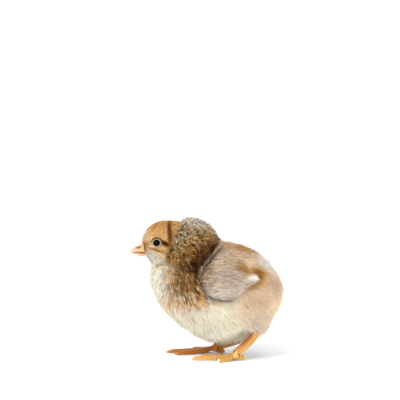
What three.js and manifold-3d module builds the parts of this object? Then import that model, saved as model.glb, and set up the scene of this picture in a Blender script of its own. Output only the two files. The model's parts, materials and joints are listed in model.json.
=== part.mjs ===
// Wind-up hopping chicken: a downy chick over an egg-shaped plastic shell that holds a spring motor.
// Millimetres, +Z up. The chick faces -X, its left side is at -Y, and its soles stand on Z = 0.
// The key winds a mainspring on the right flank. Three wheels step the speed up to an eccentric,
// which rocks both legs on one axle, so that the feet kick and the toy hops.

import * as THREE from 'three';
import { ConvexGeometry } from 'three/addons/geometries/ConvexGeometry.js';
import { mergeVertices } from 'three/addons/utils/BufferGeometryUtils.js';
import Module from 'manifold-3d';

const wasm = await Module();
wasm.setup();

// ---------------------------------------------------------------- driving dimensions

// Fits
const gap = 0.3;               // between pieces that rest against each other
const play = 0.1;              // radial play of a bore on its shaft
const boreSides = 14;
const roundSides = 18;         // of the larger round pieces

// Body: outlines in the mid-plane are [X, Z] points, counted round from the breast
const bodyOutline = [
  [-28.0, 43.0], [-25.5, 31.4], [-20.2, 23.5], [-12.0, 16.2], [-3.0, 11.0], [7.5, 8.7],
  [17.5, 9.0], [26.3, 12.2], [32.8, 19.5], [37.6, 27.5], [38.7, 35.0], [35.8, 42.5],
  [29.5, 50.2], [20.0, 55.6], [8.0, 58.2], [-6.0, 58.6], [-19.0, 54.8], [-26.4, 49.5],
];
const bodyCore = [5.5, 33.5];  // where the body's widest point lies
const bodyHalfWidth = 22.5;
const bodyDown = 4.0;          // thickness of the down over the shell
const shellWall = 1.2;

// Head
const headCentre = [-20.0, 57.3];
const headRadii = [12.0, 12.2, 11.5];   // along X, Y and Z
const headDown = 2.2;
const neckRadius = 5.6;        // of the plug that joins the head to the body
const neckSetBack = 3.0;       // of the plug behind the head's centre
const neckTop = 6.5;           // depths of the plug's ends below the head's centre
const neckBottom = 15.0;
const ruffCentre = [-7.0, 52.0];
const ruffRadii = [15.2, 20.5, 18.4];

// Eyes, with the lids round them
const eyeOffset = [-4.0, 1.8];    // from the head's centre, along X and Z
const eyeRadius = 2.0;
const eyeStandOff = 1.1;       // how far the bead's centre lies under the face
const eyeSeatDepth = 4.0;
const lidRadius = 2.05;
const lidThickness = 0.4;
const lidProud = 0.2;          // how far the ring's middle stands out of the face

// Beak: stations are [ahead of its seat on the head shell, below the head's centre, half width, half height]
const upperBeak = [[0, 2.5, 2.9, 2.5], [3.1, 2.7, 2.3, 1.8], [5.9, 3.65, 1.5, 1.05], [8.4, 4.7, 0.5, 0.4]];
const lowerBeak = [[0, 6.0, 2.5, 0.8], [2.6, 5.75, 1.9, 0.75], [5.3, 5.5, 1.2, 0.5], [6.8, 5.4, 0.5, 0.3]];
const beakHoleLength = 12.0;   // of the hole through the face's down

// Wings: the outline of a folded wing, from its root at the nape round by the front edge
const wingOutline = [
  [6.2, 57.4], [1.2, 52.6], [-3.0, 46.4], [-3.8, 41.0], [-0.8, 34.6], [6.4, 31.8],
  [13.0, 32.6], [18.0, 36.8], [23.6, 41.8], [19.6, 48.0], [13.5, 54.0],
];
const wingThickness = 3.2;
const wingInnerShare = 1 / 3;  // of the body's half width, inside which a wing never reaches

// Motor frame
const plateSpan = 13.0;        // between the plates' inner faces
const plateThickness = 0.9;
const pillarRadius = 1.1;
const pillarSides = 12;
const rivetRadius = 0.7;
const rivetHead = 0.5;
const plateMargin = 1.2;       // plate beyond each pillar or arbor

// Gear train: toothed wheels of one module, from the key to the eccentric
const gearModule = 0.5;
const greatTeeth = 30;
const secondTeeth = 30;
const thirdTeeth = 28;
const pinionTeeth = 10;
const meshSlack = 0.12;        // added to each centre distance, so that the teeth never bind
const addendum = 0.75;         // in modules
const dedendum = 1.1;
const toothFoot = 0.29;        // half widths of a tooth, in pitches
const toothCrest = 0.1;
const wheelThickness = 1.2;
const pinionOverhang = 0.2;    // a pinion is this much longer than its wheel on each side
const arborRadius = 0.8;
const windingArborRadius = 1.25;
const thirdArborAngle = 165;   // degrees, from the eccentric arbor
const secondArborAngle = 186;  // from the third arbor
const windingArborAngle = 179; // from the second arbor

// What the arbors carry, from the left plate across
const arborGap = 0.4;          // between neighbours on the arbors, and beside the plate
const springWidth = 5.0;
const ratchetThickness = 1.0;
const eccentricLength = 3.0;
const rockerThickness = 1.2;

// Mainspring, ratchet and click
const springRadius = 7.0;
const springThickness = 0.35;
const springTurns = 5;
const ratchetTeeth = 12;
const ratchetRadius = 3.4;
const ratchetRoot = 2.6;
const ratchetFace = 0.15;      // steep side of a tooth, in pitches
const springFacets = 14;       // to a turn
const clickThickness = 0.4;
const clickLength = 3.0;
const clickLean = 1.6;         // how far the leaf leans out from its tip to its heel

// Legs
const hip = [20.5, 21.5];
const rockerLength = 9.0;      // from the leg axle to the eccentric's arbor
const eccentricRadius = 1.9;
const eccentricThrow = 0.9;
const legSwing = 6;            // degrees each way
const tineWidth = 1.5;
const hubClear = 0.35;         // between a motor plate and a leg's hub
const legHub = 3.2;            // length of a leg's hub along the axle
const legHubRadius = 2.5;
const legAxleRadius = 1.0;
const clipThickness = 0.6;
const clipRadius = 1.9;
const shankHalfWidth = 1.75;
const shankHalfDepth = 2.25;   // from front to back
const toeRadius = 1.35;
const clawRadius = 0.35;
const soleCut = 0.35;          // how far the toes are flattened underneath
const knuckleRadius = 2.0;     // of the ball that the toes grow from
const knuckleDrop = 0.9;       // of the ball below the end of the shank
const legRoomAhead = 15.5;     // of the openings in the body, counted from the axle
const legRoomBehind = 9.5;

// Legs: the path of each from the axle to the root of its toes, and the X of each toe's tip with how
// far it is splayed away from the mid-plane
const legPaths = {
  left: [hip, [24.8, 17.2], [24.6, 13.4], [19.6, 7.6], [14.6, 3.4]],
  right: [hip, [21.0, 14.0], [20.0, 8.8], [13.2, 5.6], [4.6, 3.4]],
};
const toeTips = {
  left: [[-7.6, -0.5], [5.6, 6.2], [-3.4, -6.4], [20.4, -1.2]],
  right: [[-20.2, -0.8], [-7.2, 6.2], [-15.6, -6.6], [9.8, -1.6]],
};

// Stations of a toe: share of its length, height of its middle and radius
const toeStations = [
  [0, toeRadius - soleCut + 1.8, 0.9 * toeRadius],
  [0.3, toeRadius - soleCut + 0.5, toeRadius],
  [0.85, toeRadius - soleCut, 0.9 * toeRadius],
  [1, clawRadius + 0.3, clawRadius],
];

// Key
const keyReach = 34.3;         // outer end of the grip
const keyGripStart = 26.4;
const keyHalfSpan = 6.4;
const keyThickness = 2.0;
const keyStemRadius = 1.9;
const keyHoleMargin = 1.0;     // of the down round the stem
const keySeatDepth = 1.0;      // of the arbor's end under the grip

// Screws that join the halves of the shell
const screwRadius = 0.9;
const screwHeadRadius = 1.7;
const screwHeadHeight = 1.0;
const bossRadius = 2.4;
const shellScrews = { front: [-18.6, 37.6], top: [12.5, 48.6], rear: [29.6, 32.5] };
const screwGrip = 4.0;         // length of each screw on either side of the seam

// ---------------------------------------------------------------- materials

function finish(color, roughness, metalness = 0) {
  return new THREE.MeshStandardMaterial({ color, roughness, metalness });
}
const materials = {
  bodyDown: finish(0xe6d2b4, 0.95),
  faceDown: finish(0xcf9f5c, 0.95),
  ruffDown: finish(0x9c8066, 0.95),
  wingDown: finish(0xb3a294, 0.95),
  shellPlastic: finish(0xe9dcc2, 0.5),
  beakHorn: finish(0xe9b9a0, 0.45),
  eyeGlass: finish(0x0c0908, 0.08),
  lidSkin: finish(0xb9b4ae, 0.6),
  legRubber: finish(0xd28a30, 0.55),
  brass: finish(0xc9a24f, 0.35, 1),
  steel: finish(0x9da3a8, 0.35, 1),
  springSteel: finish(0x4b5560, 0.3, 1),
  keyMetal: finish(0xb8bcc0, 0.25, 1),
};

// ---------------------------------------------------------------- solids

function mergedPositions(geometry) {
  const plain = geometry.index ? geometry.toNonIndexed() : geometry.clone();
  for (const name of Object.keys(plain.attributes)) {
    if (name !== 'position') plain.deleteAttribute(name);
  }
  return mergeVertices(plain, 1e-4);
}

function solidOf(positions, triangles) {
  return new wasm.Manifold(new wasm.Mesh({
    numProp: 3,
    vertProperties: Float32Array.from(positions),
    triVerts: Uint32Array.from(triangles),
  }));
}

function solid(geometry) {
  const merged = mergedPositions(geometry);
  return solidOf(merged.attributes.position.array, merged.index.array);
}

function geometryOf(shape) {
  const mesh = shape.getMesh();
  const geometry = new THREE.BufferGeometry();
  geometry.setAttribute('position', new THREE.BufferAttribute(Float32Array.from(mesh.vertProperties), 3));
  geometry.setIndex(new THREE.BufferAttribute(Uint32Array.from(mesh.triVerts), 1));
  geometry.computeVertexNormals();
  return geometry;
}

function box(low, high) {
  const size = high.map((value, axis) => value - low[axis]);
  const middle = high.map((value, axis) => (value + low[axis]) / 2);
  return new THREE.BoxGeometry(...size).translate(...middle);
}

// A round bar along Y from y0 to y1, centred on [x, z]
function bar(radius, y0, y1, [x, z] = [0, 0], sides = boreSides) {
  return new THREE.CylinderGeometry(radius, radius, y1 - y0, sides).translate(x, (y0 + y1) / 2, z);
}

// A flat shape drawn in X and Z, given thickness along Y from y0 to y1
function slab(shape, y0, y1) {
  const geometry = new THREE.ExtrudeGeometry(shape, { depth: y1 - y0, bevelEnabled: false, steps: 1 });
  return geometry.rotateX(Math.PI / 2).translate(0, y1, 0);
}

function shapeOf(points) {
  return new THREE.Shape(points.map(([x, z]) => new THREE.Vector2(x, z)));
}

function circlePoints([x, z], radius, count) {
  return Array.from({ length: count }, (_, i) => {
    const angle = (i / count) * 2 * Math.PI;
    return [x + radius * Math.cos(angle), z + radius * Math.sin(angle)];
  });
}

function washer(outer, inner, y0, y1, sides = 16) {
  const shape = shapeOf(circlePoints([0, 0], outer, sides));
  shape.holes.push(new THREE.Path(shapeOf(circlePoints([0, 0], inner, sides)).getPoints()));
  return slab(shape, y0, y1);
}

function ellipsoid([x, z], [rx, ry, rz], around = 20, rings = 12) {
  return new THREE.SphereGeometry(1, around, rings).scale(rx, ry, rz).translate(x, 0, z);
}

function grown(radii, by) {
  return radii.map((radius) => radius + by);
}

// A rounded body whose mid-plane outline is the closed curve through the points, pushed out by `by`.
// It narrows to the core point at its half width on each side.
function egg(outline, [coreX, coreZ], halfWidth, by = 0, around = 24, rings = 10) {
  const curve = new THREE.CatmullRomCurve3(outline.map(([x, z]) => new THREE.Vector3(x, 0, z)), true);
  const base = curve.getSpacedPoints(around).slice(0, around);
  const rim = base.map((point, i) => {
    const before = base[(i + around - 1) % around];
    const after = base[(i + 1) % around];
    const along = new THREE.Vector3().subVectors(after, before).normalize();
    return new THREE.Vector3(point.x + along.z * by, 0, point.z - along.x * by);
  });
  const width = halfWidth + by;
  const positions = [coreX, -width, coreZ];
  for (let ring = 1; ring < rings; ring += 1) {
    const tilt = (ring / rings - 0.5) * Math.PI;
    for (const point of rim) {
      positions.push(coreX + (point.x - coreX) * Math.cos(tilt));
      positions.push(width * Math.sin(tilt));
      positions.push(coreZ + (point.z - coreZ) * Math.cos(tilt));
    }
  }
  positions.push(coreX, width, coreZ);
  const last = positions.length / 3 - 1;
  const triangles = [];
  for (let i = 0; i < around; i += 1) {
    const next = (i + 1) % around;
    triangles.push(0, 1 + i, 1 + next);
    for (let ring = 0; ring < rings - 2; ring += 1) {
      const a = 1 + ring * around;
      const b = a + around;
      triangles.push(a + i, b + next, a + next, a + i, b + i, b + next);
    }
    const end = last - around;
    triangles.push(last, end + next, end + i);
  }
  return solidOf(positions, triangles);
}

// A tapered tube with closed ends through stations of { at: [x, y, z], wide, tall }
function taperedTube(stations, sides = 8, steps = 2) {
  const path = new THREE.CatmullRomCurve3(stations.map(({ at }) => new THREE.Vector3(...at)));
  const rings = (stations.length - 1) * steps;
  const positions = [];
  const side = new THREE.Vector3().crossVectors(new THREE.Vector3(0, 0, 1), path.getTangent(0));
  for (let ring = 0; ring <= rings; ring += 1) {
    const t = ring / rings;
    const place = t * (stations.length - 1);
    const from = Math.min(Math.floor(place), stations.length - 2);
    const wide = THREE.MathUtils.lerp(stations[from].wide, stations[from + 1].wide, place - from);
    const tall = THREE.MathUtils.lerp(stations[from].tall, stations[from + 1].tall, place - from);
    const centre = path.getPoint(t);
    const along = path.getTangent(t);
    side.addScaledVector(along, -side.dot(along)).normalize();
    const top = new THREE.Vector3().crossVectors(along, side);
    for (let i = 0; i < sides; i += 1) {
      const angle = ((i + 0.5) / sides) * 2 * Math.PI;
      const point = centre.clone();
      point.addScaledVector(side, wide * Math.cos(angle)).addScaledVector(top, tall * Math.sin(angle));
      positions.push(point.x, point.y, point.z);
    }
  }
  const triangles = [];
  for (let i = 0; i < sides; i += 1) {
    const next = (i + 1) % sides;
    for (let ring = 0; ring < rings; ring += 1) {
      const a = ring * sides;
      const b = a + sides;
      triangles.push(a + i, a + next, b + next, a + i, b + next, b + i);
    }
    if (i > 1) {
      triangles.push(0, i, i - 1);
      triangles.push(rings * sides, rings * sides + i - 1, rings * sides + i);
    }
  }
  return solidOf(positions, triangles);
}

// ---------------------------------------------------------------- places

function polar([x, z], distance, degrees) {
  const angle = THREE.MathUtils.degToRad(degrees);
  return [x + distance * Math.cos(angle), z + distance * Math.sin(angle)];
}

// The point at distance `fromP` from p and `fromQ` from q, on the left of p to q when side is 1
function thirdCorner(p, q, fromP, fromQ, side) {
  const span = Math.hypot(q[0] - p[0], q[1] - p[1]);
  const along = (span ** 2 + fromP ** 2 - fromQ ** 2) / (2 * span);
  const off = side * Math.sqrt(fromP ** 2 - along ** 2);
  const ux = (q[0] - p[0]) / span;
  const uz = (q[1] - p[1]) / span;
  return [p[0] + along * ux - off * uz, p[1] + along * uz + off * ux];
}

function pitchRadius(teeth) {
  return (teeth * gearModule) / 2;
}

function tipRadius(teeth) {
  return pitchRadius(teeth) + addendum * gearModule;
}

function centreDistance(wheelTeeth) {
  return pitchRadius(wheelTeeth) + pitchRadius(pinionTeeth) + meshSlack;
}

const crankAt = [hip[0], hip[1] + rockerLength];
const thirdAt = polar(crankAt, centreDistance(thirdTeeth), thirdArborAngle);
const secondAt = polar(thirdAt, centreDistance(secondTeeth), secondArborAngle);
const windingAt = polar(secondAt, centreDistance(greatTeeth), windingArborAngle);

const wheelClear = pillarRadius + gap;
const pillars = {
  top_front: thirdCorner(windingAt, secondAt, tipRadius(greatTeeth) + wheelClear,
    tipRadius(secondTeeth) + wheelClear, 1),
  bottom_front: thirdCorner(windingAt, secondAt, tipRadius(greatTeeth) + wheelClear,
    tipRadius(secondTeeth) + wheelClear, -1),
  top_rear: thirdCorner(thirdAt, crankAt, tipRadius(thirdTeeth) + wheelClear, rockerLength, 1),
  bottom_rear: thirdCorner(thirdAt, hip, tipRadius(thirdTeeth) + wheelClear, rockerLength, -1),
};
const plateInner = plateSpan / 2;
const plateOuter = plateInner + plateThickness;
const rivetEnd = plateOuter + gap + rivetHead;

// Lateral places: the spring, its ratchet and the first two wheels follow each other from the left
// plate, and so do the eccentric and the third wheel
const springY = -plateInner + arborGap;
const ratchetY = springY + springWidth + arborGap;
const greatWheelY = ratchetY + ratchetThickness + arborGap;
const secondWheelY = greatWheelY + wheelThickness + pinionOverhang + arborGap;
const eccentricY = -plateInner + arborGap;
const rockerY = eccentricY + (eccentricLength - rockerThickness) / 2;
const thirdWheelY = eccentricY + eccentricLength + pinionOverhang + arborGap;
const legY = plateOuter + hubClear + legHub / 2;

const eyeCentre = [headCentre[0] + eyeOffset[0], headCentre[1] + eyeOffset[1]];
const beakSeat = headCentre[0] - headRadii[0] + headDown - gap;

// ---------------------------------------------------------------- assembly

const toy = new THREE.Group();
const body = new THREE.Group();
const head = new THREE.Group();
const motor = new THREE.Group();
const legs = new THREE.Group();
toy.add(body, head, motor, legs);

function add(group, name, shape, material, [x, z] = [0, 0]) {
  const geometry = shape instanceof THREE.BufferGeometry ? shape : geometryOf(shape);
  const mesh = new THREE.Mesh(geometry, material);
  mesh.name = name;
  mesh.position.set(x, 0, z);
  group.add(mesh);
}

const sides = { left: -1, right: 1 };
const farOut = 100;            // beyond every piece, for the cutting blocks

// Half of the space on one side of the seam in the mid-plane
function halfSpace(side) {
  const inner = (side * gap) / 2;
  const outer = side * farOut;
  const low = [-farOut, Math.min(inner, outer), -farOut];
  const high = [farOut, Math.max(inner, outer), farOut];
  return solid(box(low, high));
}

// Room for a leg to come out underneath and to swing with the axle
function legOpening(side, margin) {
  const inner = side * (legY - legHub / 2 - margin);
  const outer = side * (legY + legHub / 2 + clipThickness + gap + margin);
  const low = [hip[0] - legRoomAhead, Math.min(inner, outer), -1];
  const high = [hip[0] + legRoomBehind, Math.max(inner, outer), hip[1] + legHubRadius + margin];
  return solid(box(low, high));
}

const bodyOuter = egg(bodyOutline, bodyCore, bodyHalfWidth);
const shellOuter = egg(bodyOutline, bodyCore, bodyHalfWidth, -bodyDown);
const shellInner = egg(bodyOutline, bodyCore, bodyHalfWidth, -bodyDown - shellWall);
const motorRoom = egg(bodyOutline, bodyCore, bodyHalfWidth, -bodyDown - shellWall - gap);
const headRoom = solid(ellipsoid(headCentre, grown(headRadii, gap)))
  .add(solid(neckBar(neckRadius + gap, 0, neckBottom + gap)));

// ---------------------------------------------------------------- down covers

function buildBodyCovers() {
  const cavity = egg(bodyOutline, bodyCore, bodyHalfWidth, gap - bodyDown);
  const keyHole = solid(bar(keyStemRadius + keyHoleMargin + gap, 0, farOut, windingAt));
  for (const [name, side] of Object.entries(sides)) {
    const cover = bodyOuter.subtract(cavity).intersect(halfSpace(side));
    const open = cover.subtract(headRoom).subtract(legOpening(side, 2 * gap)).subtract(keyHole);
    add(body, `body_down_${name}`, open, materials.bodyDown);
  }
}

function buildRuff() {
  const ball = solid(ellipsoid(ruffCentre, ruffRadii));
  const overBody = egg(bodyOutline, bodyCore, bodyHalfWidth, gap);
  add(body, 'neck_ruff', ball.subtract(overBody).subtract(headRoom), materials.ruffDown);
}

function buildWings() {
  const over = egg(bodyOutline, bodyCore, bodyHalfWidth, wingThickness + gap);
  const under = egg(bodyOutline, bodyCore, bodyHalfWidth, gap);
  const ruff = solid(ellipsoid(ruffCentre, grown(ruffRadii, gap)));
  const curve = new THREE.SplineCurve([...wingOutline, wingOutline[0]].map((p) => new THREE.Vector2(...p)));
  const shape = new THREE.Shape(curve.getPoints(2 * wingOutline.length).slice(0, -1));
  for (const [name, side] of Object.entries(sides)) {
    const inner = side * bodyHalfWidth * wingInnerShare;
    const outer = side * farOut;
    const cutter = solid(slab(shape, Math.min(inner, outer), Math.max(inner, outer)));
    add(body, `wing_${name}`, over.intersect(cutter).subtract(under).subtract(ruff), materials.wingDown);
  }
}

// ---------------------------------------------------------------- shell

// Hollow posts inside a shell half, which hold the motor by the ends of its pillars
function motorPosts(side) {
  const along = (from, to) => [side * from, side * to].sort((a, b) => a - b);
  const posts = Object.values(pillars).map((at) => {
    const post = solid(bar(bossRadius, ...along(plateOuter + gap, farOut), at));
    return post.subtract(solid(bar(pillarRadius + gap, ...along(0, rivetEnd + gap), at, pillarSides)));
  });
  return posts.reduce((all, post) => all.add(post)).intersect(shellOuter);
}

function buildShell() {
  const wall = shellOuter.subtract(shellInner);
  const keyHole = solid(bar(keyStemRadius + gap, 0, farOut, windingAt));
  for (const [name, side] of Object.entries(sides)) {
    let half = wall;
    for (const at of Object.values(shellScrews)) {
      half = half.add(shellOuter.intersect(solid(bar(bossRadius, -farOut, farOut, at))));
    }
    half = half.intersect(halfSpace(side)).add(motorPosts(side))
      .subtract(headRoom).subtract(legOpening(side, gap)).subtract(keyHole);
    for (const at of Object.values(shellScrews)) {
      const reach = [0, side * (screwGrip + gap)];
      const hole = solid(bar(screwRadius + gap, Math.min(...reach), Math.max(...reach), at));
      half = half.subtract(hole);
      if (side < 0) {
        half = half.subtract(solid(bar(screwHeadRadius + gap, -farOut, -screwGrip, at)));
      }
    }
    add(body, `body_shell_${name}`, half, materials.shellPlastic);
  }
  for (const [name, at] of Object.entries(shellScrews)) {
    const shank = solid(bar(screwRadius, -screwGrip - gap, screwGrip, at));
    const screwHead = solid(bar(screwHeadRadius, -screwGrip - gap - screwHeadHeight, -screwGrip - gap, at));
    add(body, `shell_screw_${name}`, shank.add(screwHead), materials.steel);
  }
}

// ---------------------------------------------------------------- head

function eyeSeat(side, radius) {
  const middle = side * faceY(eyeCentre);
  return solid(bar(radius, middle - eyeSeatDepth, middle + eyeSeatDepth, eyeCentre));
}

// Half width of the head at a point of its mid-plane
function faceY([x, z]) {
  const across = ((x - headCentre[0]) / headRadii[0]) ** 2 + ((z - headCentre[1]) / headRadii[2]) ** 2;
  return headRadii[1] * Math.sqrt(1 - across);
}

// An upright bar under the head, between two depths below its centre
function neckBar(radius, fromDepth, toDepth) {
  return new THREE.CylinderGeometry(radius, radius, toDepth - fromDepth, 18)
    .rotateX(Math.PI / 2)
    .translate(headCentre[0] + neckSetBack, 0, headCentre[1] - (fromDepth + toDepth) / 2);
}

function beakSolid(stations) {
  return taperedTube(stations.map(([ahead, below, wide, tall]) => (
    { at: [beakSeat - ahead, 0, headCentre[1] - below], wide, tall }
  )), 10);
}

// Room round the roots of both halves of the beak
function beakHole() {
  const [, upperBelow, wide, upperTall] = upperBeak[0];
  const [, lowerBelow, , lowerTall] = lowerBeak[0];
  const top = headCentre[1] - upperBelow + upperTall;
  const bottom = headCentre[1] - lowerBelow - lowerTall;
  return solid(new THREE.CylinderGeometry(1, 1, beakHoleLength, 16)
    .scale((top - bottom) / 2 + 2 * gap, 1, wide + 3 * gap)
    .rotateZ(Math.PI / 2)
    .translate(beakSeat + 2 * gap - beakHoleLength / 2, 0, (top + bottom) / 2));
}

function buildHead() {
  const shellRadii = grown(headRadii, -headDown);
  const shellWallOnly = solid(ellipsoid(headCentre, shellRadii))
    .subtract(solid(ellipsoid(headCentre, grown(shellRadii, -shellWall))));
  const neckHole = solid(neckBar(neckRadius + gap, 0, headRadii[2] + gap));
  const cavity = solid(ellipsoid(headCentre, grown(shellRadii, gap)));
  const seatRadius = lidRadius + lidThickness + gap;
  const cover = solid(ellipsoid(headCentre, headRadii)).subtract(cavity).subtract(beakHole())
    .subtract(neckHole).subtract(eyeSeat(-1, seatRadius)).subtract(eyeSeat(1, seatRadius));
  add(head, 'face_down', cover, materials.faceDown);

  const bead = (side, radius) => {
    const y = side * (faceY(eyeCentre) - eyeStandOff);
    return new THREE.SphereGeometry(radius, 16, 9).translate(eyeCentre[0], y, eyeCentre[1]);
  };
  for (const [name, side] of Object.entries(sides)) {
    const half = shellWallOnly.intersect(halfSpace(side)).subtract(neckHole)
      .subtract(solid(bead(side, eyeRadius + gap)));
    add(head, `head_shell_${name}`, half, materials.shellPlastic);
    add(head, `eye_${name}`, bead(side, eyeRadius), materials.eyeGlass);
    const lid = new THREE.TorusGeometry(lidRadius, lidThickness, 5, 16).rotateX(Math.PI / 2)
      .translate(eyeCentre[0], side * (faceY(eyeCentre) + lidProud), eyeCentre[1]);
    add(head, `eyelid_${name}`, lid, materials.lidSkin);
  }
  const plug = solid(neckBar(neckRadius, neckTop, neckBottom));
  const plugBore = solid(neckBar(neckRadius - shellWall, 0, neckBottom + gap));
  add(head, 'neck_plug', plug.subtract(plugBore), materials.shellPlastic);
  add(head, 'beak_upper', beakSolid(upperBeak), materials.beakHorn);
  add(head, 'beak_lower', beakSolid(lowerBeak), materials.beakHorn);
}

// ---------------------------------------------------------------- motor frame

function buildFrame() {
  const stations = [...Object.values(pillars), windingAt, crankAt, hip];
  const rimPoints = stations.flatMap((at) => circlePoints(at, plateMargin + windingArborRadius, 8));
  for (const [name, side] of Object.entries(sides)) {
    const faces = [side * plateInner, side * plateOuter];
    const corners = rimPoints.flatMap(([x, z]) => faces.map((y) => new THREE.Vector3(x, y, z)));
    let plate = solid(new ConvexGeometry(corners)).intersect(motorRoom);
    const bores = [
      [windingAt, windingArborRadius], [secondAt, arborRadius], [thirdAt, arborRadius],
      [crankAt, arborRadius], [hip, legAxleRadius],
    ];
    for (const [at, radius] of bores) {
      plate = plate.subtract(solid(bar(radius + play, -farOut, farOut, at)));
    }
    for (const at of Object.values(pillars)) {
      plate = plate.subtract(solid(bar(rivetRadius + play, -farOut, farOut, at)));
    }
    add(motor, `motor_plate_${name}`, plate, materials.steel);
  }
  const shoulder = plateInner - gap;
  for (const [name, at] of Object.entries(pillars)) {
    const pillar = solid(bar(pillarRadius, -shoulder, shoulder, at, pillarSides))
      .add(solid(bar(rivetRadius, -rivetEnd, rivetEnd, at, pillarSides)))
      .add(solid(bar(pillarRadius, -rivetEnd, -plateOuter - gap, at, pillarSides)))
      .add(solid(bar(pillarRadius, plateOuter + gap, rivetEnd, at, pillarSides)));
    add(motor, `pillar_${name}`, pillar, materials.brass);
  }
}

// ---------------------------------------------------------------- gear train

// Toothed outline with a tooth, or with a gap, pointing along `degrees`
function toothedShape(teeth, degrees, startsWithGap) {
  const pitch = (2 * Math.PI) / teeth;
  const root = pitchRadius(teeth) - dedendum * gearModule;
  const start = THREE.MathUtils.degToRad(degrees) + (startsWithGap ? pitch / 2 : 0);
  const profile = [[-toothFoot, root], [-toothCrest, tipRadius(teeth)]];
  const flanks = [...profile, ...profile.map(([share, radius]) => [-share, radius]).reverse()];
  const points = [];
  for (let tooth = 0; tooth < teeth; tooth += 1) {
    for (const [share, radius] of flanks) {
      const angle = start + (tooth + share) * pitch;
      points.push([radius * Math.cos(angle), radius * Math.sin(angle)]);
    }
  }
  return shapeOf(points);
}

function boredSlab(shape, radius, y0, y1) {
  shape.holes.push(new THREE.Path(shapeOf(circlePoints([0, 0], radius, boreSides)).getPoints()));
  return slab(shape, y0, y1);
}

function headingFrom(p, q) {
  return THREE.MathUtils.radToDeg(Math.atan2(q[1] - p[1], q[0] - p[0]));
}

function buildWheel(name, teeth, at, driven, y, shaftRadius) {
  const shape = toothedShape(teeth, headingFrom(at, driven), false);
  add(motor, name, boredSlab(shape, shaftRadius + play, y, y + wheelThickness), materials.brass, at);
}

function buildPinion(name, at, driver, y) {
  const shape = toothedShape(pinionTeeth, headingFrom(at, driver), true);
  const y0 = y - pinionOverhang;
  const y1 = y + wheelThickness + pinionOverhang;
  add(motor, name, boredSlab(shape, arborRadius + play, y0, y1), materials.steel, at);
}

function buildTrain() {
  buildWheel('great_wheel', greatTeeth, windingAt, secondAt, greatWheelY, windingArborRadius);
  buildPinion('second_pinion', secondAt, windingAt, greatWheelY);
  buildWheel('second_wheel', secondTeeth, secondAt, thirdAt, secondWheelY, arborRadius);
  buildPinion('third_pinion', thirdAt, secondAt, secondWheelY);
  buildWheel('third_wheel', thirdTeeth, thirdAt, crankAt, thirdWheelY, arborRadius);
  buildPinion('eccentric_pinion', crankAt, thirdAt, thirdWheelY);
  const end = plateOuter + gap;
  add(motor, 'second_arbor', bar(arborRadius, -end, end), materials.steel, secondAt);
  add(motor, 'third_arbor', bar(arborRadius, -end, end), materials.steel, thirdAt);
  add(motor, 'eccentric_arbor', bar(arborRadius, -end, end), materials.steel, crankAt);
  const shape = shapeOf(circlePoints([0, -eccentricThrow], eccentricRadius, 20));
  const eccentric = boredSlab(shape, arborRadius + play, eccentricY, eccentricY + eccentricLength);
  add(motor, 'eccentric', eccentric, materials.brass, crankAt);
}

// ---------------------------------------------------------------- winding

function springShape() {
  const inner = windingArborRadius + gap;
  const steps = springTurns * springFacets;
  const face = (offset) => Array.from({ length: steps + 1 }, (_, i) => {
    const share = i / steps;
    const radius = inner + (springRadius - springThickness - inner) * share + offset;
    const angle = share * springTurns * 2 * Math.PI;
    return [radius * Math.cos(angle), radius * Math.sin(angle)];
  });
  return shapeOf([...face(0), ...face(springThickness).reverse()]);
}

function ratchetShape() {
  const points = [];
  for (let tooth = 0; tooth < ratchetTeeth; tooth += 1) {
    points.push(polar([0, 0], ratchetRadius, (tooth * 360) / ratchetTeeth));
    points.push(polar([0, 0], ratchetRoot, ((tooth + ratchetFace) * 360) / ratchetTeeth));
  }
  return shapeOf(points);
}

// A leaf on the great wheel's face, whose tip rests in a tooth of the ratchet
function clickShape() {
  const tip = ratchetRoot + gap;
  const heel = tip + clickLean;
  return shapeOf([
    [tip, clickThickness], [tip + clickThickness, gap],
    [heel + clickThickness, clickLength], [heel, clickLength],
  ]);
}

function buildWinding() {
  add(motor, 'mainspring', slab(springShape(), springY, springY + springWidth), materials.springSteel, windingAt);
  const ratchet = boredSlab(ratchetShape(), windingArborRadius + play, ratchetY, ratchetY + ratchetThickness);
  add(motor, 'ratchet_wheel', ratchet, materials.steel, windingAt);
  const click = slab(clickShape(), ratchetY, ratchetY + ratchetThickness);
  add(motor, 'click_spring', click, materials.springSteel, windingAt);

  const keySeat = keyGripStart - keySeatDepth;
  const arbor = bar(windingArborRadius, -plateOuter - gap, keySeat);
  add(motor, 'winding_arbor', arbor, materials.steel, windingAt);

  const lobeHalfSpan = keyHalfSpan / 2;
  const gripMiddle = (keyGripStart + keyReach) / 2;
  const gripRadius = (keyReach - keyGripStart) / 2;
  const lobe = (side) => solid(new THREE.CylinderGeometry(gripRadius, gripRadius, keyThickness, roundSides)
    .rotateZ(Math.PI / 2)
    .scale(1, 1, lobeHalfSpan / gripRadius)
    .translate(0, gripMiddle, side * lobeHalfSpan));
  const stemStart = plateOuter + 2 * gap;
  const key = solid(bar(keyStemRadius, stemStart, keyReach - gripRadius, [0, 0], roundSides))
    .add(lobe(-1)).add(lobe(1))
    .subtract(solid(bar(windingArborRadius + play, -farOut, keySeat + gap)));
  add(motor, 'winding_key', key, materials.keyMetal, windingAt);
}

// ---------------------------------------------------------------- legs

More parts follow.
